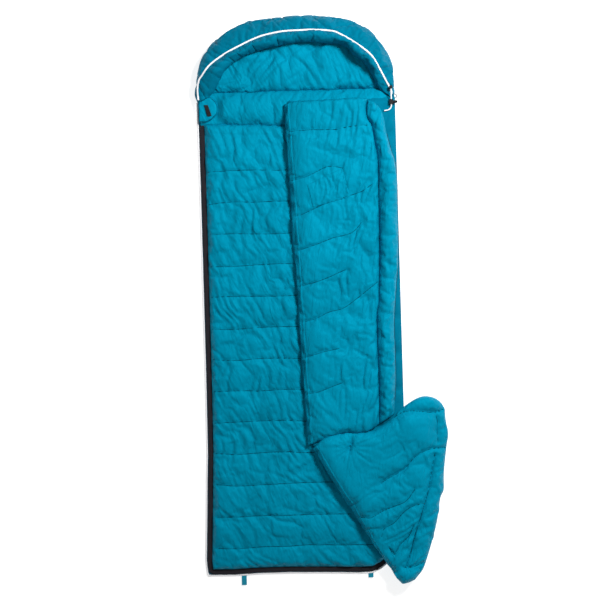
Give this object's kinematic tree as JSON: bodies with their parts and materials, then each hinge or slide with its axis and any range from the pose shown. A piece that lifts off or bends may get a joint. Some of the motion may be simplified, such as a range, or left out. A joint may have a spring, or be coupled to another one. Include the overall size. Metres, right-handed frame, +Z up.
{
  "type": "camp quilt",
  "caption": "Hooded rectangular down camp quilt with a zip down one side and along the foot, lying open with its cover turned back.",
  "frame": {"origin": "on the underside, on the body's centre line, at the middle of its length", "axes": "+Y towards the hood, +X towards the sewn side that the cover is turned back to, +Z up"},
  "size_m": [0.9608, 2.2751, 0.0995],
  "materials": {
    "shell_fabric": "matte",
    "lining_fabric": "satin",
    "down_fill": "matte",
    "baffle_net": "matte",
    "zip_tape": "matte",
    "zip_coil": "satin",
    "reflective_piping": "satin",
    "cord": "matte",
    "black_plastic": "satin",
    "webbing": "matte",
    "spring_steel": "satin",
    "slider_metal": "satin"
  },
  "bodies": {
    "root": {"base_baffles": "baffle_net", "base_collar": "lining_fabric", "base_down_01": "down_fill", "base_down_02": "down_fill", "base_down_03": "down_fill", "base_down_04": "down_fill", "base_down_05": "down_fill", "base_down_06": "down_fill", "base_down_07": "down_fill", "base_down_08": "down_fill", "base_down_09": "down_fill", "base_down_10": "down_fill", "base_down_11": "down_fill", "base_down_12": "down_fill", "base_down_13": "down_fill", "base_down_14": "down_fill", "base_lining": "lining_fabric", "base_piping": "reflective_piping", "base_shell": "shell_fabric", "cord_anchor_ring": "black_plastic", "cord_port": "black_plastic", "cover_fixed_baffles": "baffle_net", "cover_fixed_down": "down_fill", "cover_fixed_lining": "lining_fabric", "cover_fixed_shell": "shell_fabric", "drawcord": "cord", "hood_back_down": "down_fill", "hood_back_lining": "lining_fabric", "zip_coil_base": "zip_coil", "zip_retainer_box": "black_plastic", "zip_tape_base": "zip_tape", "zip_top_stop": "black_plastic"},
    "cover_free": {"cover_free_shell": "shell_fabric", "cover_free_lining": "lining_fabric", "cover_free_down": "down_fill", "cover_free_baffles": "baffle_net", "cover_collar": "lining_fabric", "cover_draft_tube": "lining_fabric", "zip_tape_cover": "zip_tape", "zip_coil_cover": "zip_coil", "lining_pocket": "lining_fabric"},
    "foot_corner": {"foot_shell": "shell_fabric", "foot_down": "down_fill", "foot_lining": "lining_fabric"},
    "hood": {"hood_outer_panel": "shell_fabric", "hood_rim_roll": "shell_fabric", "hood_piping": "reflective_piping"},
    "hook_tab": {"hook_tab": "lining_fabric", "hook_patch": "zip_tape"},
    "cord_lock": {"cord_lock_body": "black_plastic", "cord_lock_barrel": "black_plastic", "cord_lock_spring": "spring_steel"},
    "cord_plunger": {"cord_lock_plunger": "black_plastic"},
    "zip_slider": {"zip_slider": "slider_metal"},
    "zip_pull": {"zip_pull_tab": "zip_tape"},
    "hang_loop_left": {"hang_loop_left": "webbing"},
    "hang_loop_right": {"hang_loop_right": "webbing"}
  },
  "joints": [
    {"name": "cover_fold", "type": "hinge", "parent": "root", "child": "cover_free", "pos_m": [0.022, -0.575, 0.06125], "axis": [0.0423, -0.9991, 0], "range_deg": [0, 180]},
    {"name": "foot_fold", "type": "hinge", "parent": "root", "child": "foot_corner", "pos_m": [0.022, -0.575, 0.06125], "axis": [0.517, -0.856, 0], "range_deg": [0, 180]},
    {"name": "hood_lift", "type": "hinge", "parent": "root", "child": "hood", "pos_m": [0, 0.842, 0.034], "axis": [1, 0, 0], "range_deg": [0, 70]},
    {"name": "hook_tab_flip", "type": "hinge", "parent": "root", "child": "hook_tab", "pos_m": [-0.3877, 0.758, 0.0271], "axis": [0, -1, 0], "range_deg": [0, 180]},
    {"name": "cord_lock_slide", "type": "slide", "parent": "root", "child": "cord_lock", "axis": [0, 1, 0], "range_m": [0, 0.01]},
    {"name": "plunger_press", "type": "slide", "parent": "cord_lock", "child": "cord_plunger", "axis": [-1, 0, 0], "range_m": [0, 0.0025], "stiffness_N_per_m": 400, "deforming": ["cord_lock_spring"]},
    {"name": "zip_slide", "type": "slide", "parent": "root", "child": "zip_slider", "axis": [-1, 0, 0], "range_m": [0, 0.6]},
    {"name": "pull_tab_flip", "type": "hinge", "parent": "zip_slider", "child": "zip_pull", "pos_m": [0.238, -1.0835, 0.0163], "axis": [0, 1, 0], "range_deg": [0, 170]},
    {"name": "hang_loop_left_lift", "type": "hinge", "parent": "root", "child": "hang_loop_left", "pos_m": [0, -1.0951, 0.0082], "axis": [-1, 0, 0], "range_deg": [0, 85]},
    {"name": "hang_loop_right_lift", "type": "hinge", "parent": "root", "child": "hang_loop_right", "pos_m": [0, -1.0951, 0.0082], "axis": [-1, 0, 0], "range_deg": [0, 85]}
  ]
}
